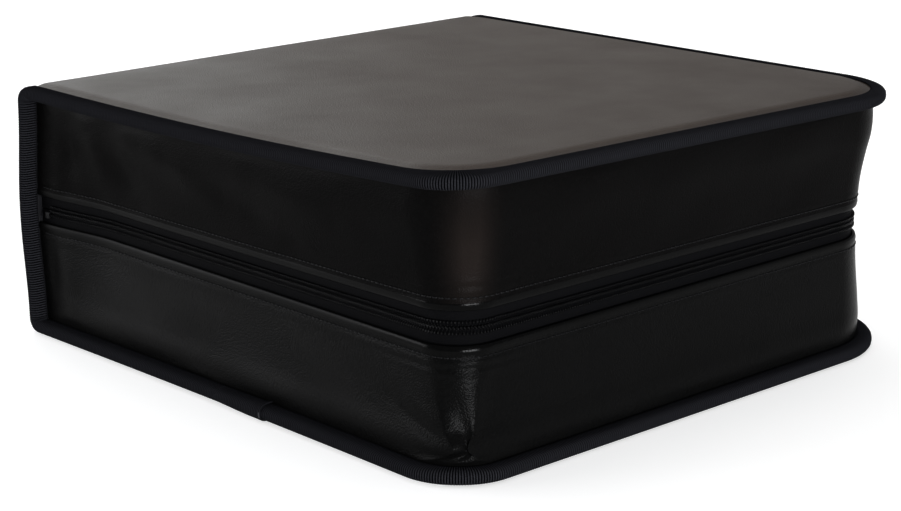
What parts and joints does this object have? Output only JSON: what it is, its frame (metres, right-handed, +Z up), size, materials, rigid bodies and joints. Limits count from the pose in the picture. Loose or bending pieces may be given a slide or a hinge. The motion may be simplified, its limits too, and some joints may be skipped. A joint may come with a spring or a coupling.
{
  "type": "cd storage case",
  "caption": "Large zip-round storage case with padded leatherette covers, a ribbon-bound edge, soft side walls and bound disc sleeves inside; opens like a book.",
  "frame": {"origin": "middle of the closed case's footprint, on the surface that it lies on", "axes": "+Z up through the covers, spine at -X, fore-edge at +X, the zipper's slider on the +Y side"},
  "size_m": [0.34, 0.329, 0.134],
  "materials": {
    "leatherette": "fine pebbled black leatherette, satin",
    "ribbon": "ribbed black binding ribbon, matt",
    "lining": "woven black nylon lining",
    "board": "uncoated grey board",
    "zipper_tape": "woven black zipper tape",
    "zipper_chain": "black nylon coil, slight sheen",
    "dark_metal": "black enamelled metal",
    "sleeve_film": "clear film pockets on dark non-woven leaves",
    "binder_plastic": "moulded black plastic"
  },
  "bodies": {
    "back_half": {"back_cover_skin": "leatherette", "back_cover_board": "board", "back_cover_lining": "lining", "back_cover_binding": "ribbon", "lower_wall": "leatherette", "lower_zipper_tape": "zipper_tape", "lower_zipper_chain": "zipper_chain", "lower_end_stop": "dark_metal", "zipper_start_stop": "dark_metal", "disc_sleeves": "sleeve_film", "binder_base_rail": "binder_plastic", "binder_clamp_rail": "binder_plastic", "binder_post_1": "binder_plastic", "binder_post_2": "binder_plastic", "binder_post_3": "binder_plastic"},
    "spine": {"spine_skin": "leatherette", "spine_board": "board", "spine_lining": "lining", "spine_binding_near": "ribbon", "spine_binding_far": "ribbon"},
    "front_half": {"front_cover_skin": "leatherette", "front_cover_board": "board", "front_cover_lining": "lining", "front_cover_binding": "ribbon", "upper_wall": "leatherette", "upper_zipper_tape": "zipper_tape", "upper_zipper_chain": "zipper_chain", "upper_end_stop": "dark_metal"},
    "slider": {"zipper_slider": "dark_metal"},
    "pull": {"zipper_pull": "dark_metal"}
  },
  "joints": [
    {"name": "spine_fold", "type": "hinge", "parent": "back_half", "child": "spine", "pos_m": [-0.16386, 0, 0.00234], "axis": [0, -1, 0], "range_deg": [0, 90]},
    {"name": "cover_fold", "type": "hinge", "parent": "spine", "child": "front_half", "pos_m": [-0.16356, 0, 0.13136], "axis": [0, -1, 0], "range_deg": [0, 90]},
    {"name": "slider_slide", "type": "slide", "parent": "back_half", "child": "slider", "axis": [1, 0, 0], "range_m": [0, 0.266]},
    {"name": "pull_swing", "type": "hinge", "parent": "slider", "child": "pull", "pos_m": [-0.148, 0.1533, 0.067], "axis": [1, 0, 0], "range_deg": [0, 170]}
  ]
}
